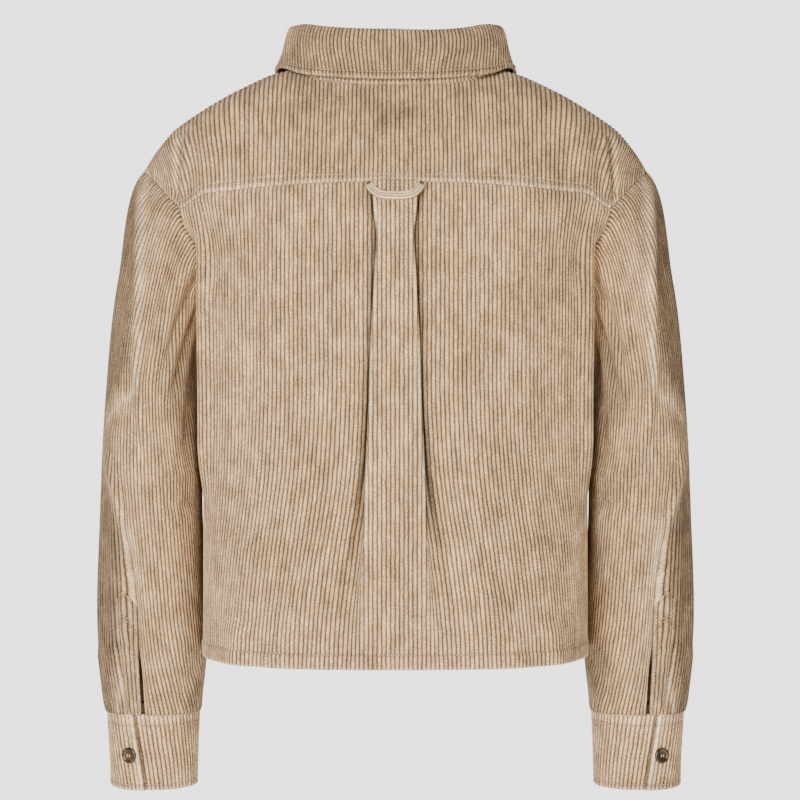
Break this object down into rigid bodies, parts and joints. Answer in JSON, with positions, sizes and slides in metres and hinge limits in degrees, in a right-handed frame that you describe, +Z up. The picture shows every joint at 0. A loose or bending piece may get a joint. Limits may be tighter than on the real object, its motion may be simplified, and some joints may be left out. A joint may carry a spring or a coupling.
{
  "type": "corduroy shacket",
  "caption": "Cropped corduroy overshirt filled out as worn, with collar, yoke, box pleat, buttoned front, long sleeves and cuffs; open at neck, hem and cuffs.",
  "frame": {"origin": "on the centre plane midway between the shoulders, at the height of the neck's sides, where the wearer's shoulders hold the garment up", "axes": "+Z up, front faces -Y, wearer's left is +X"},
  "size_m": [0.5596, 0.2763, 0.7098],
  "materials": {
    "corduroy": "wide-wale cotton corduroy, garment washed, soft low sheen along the ridges",
    "button": "mottled brown horn look, semi-gloss"
  },
  "bodies": {
    "root": {"back_panel": "corduroy", "back_yoke": "corduroy", "front_left": "corduroy", "front_right": "corduroy", "button_band_right": "corduroy", "collar_stand": "corduroy", "collar_fall": "corduroy", "hanger_loop": "corduroy", "sleeve_left": "corduroy", "sleeve_right": "corduroy", "sleeve_placket_left": "corduroy", "sleeve_placket_right": "corduroy", "cuff_left": "corduroy", "cuff_right": "corduroy", "front_button_1": "button", "front_button_2": "button", "front_button_3": "button", "front_button_4": "button", "front_button_5": "button", "front_button_6": "button", "cuff_button_left": "button", "cuff_button_right": "button"}
  },
  "joints": []
}
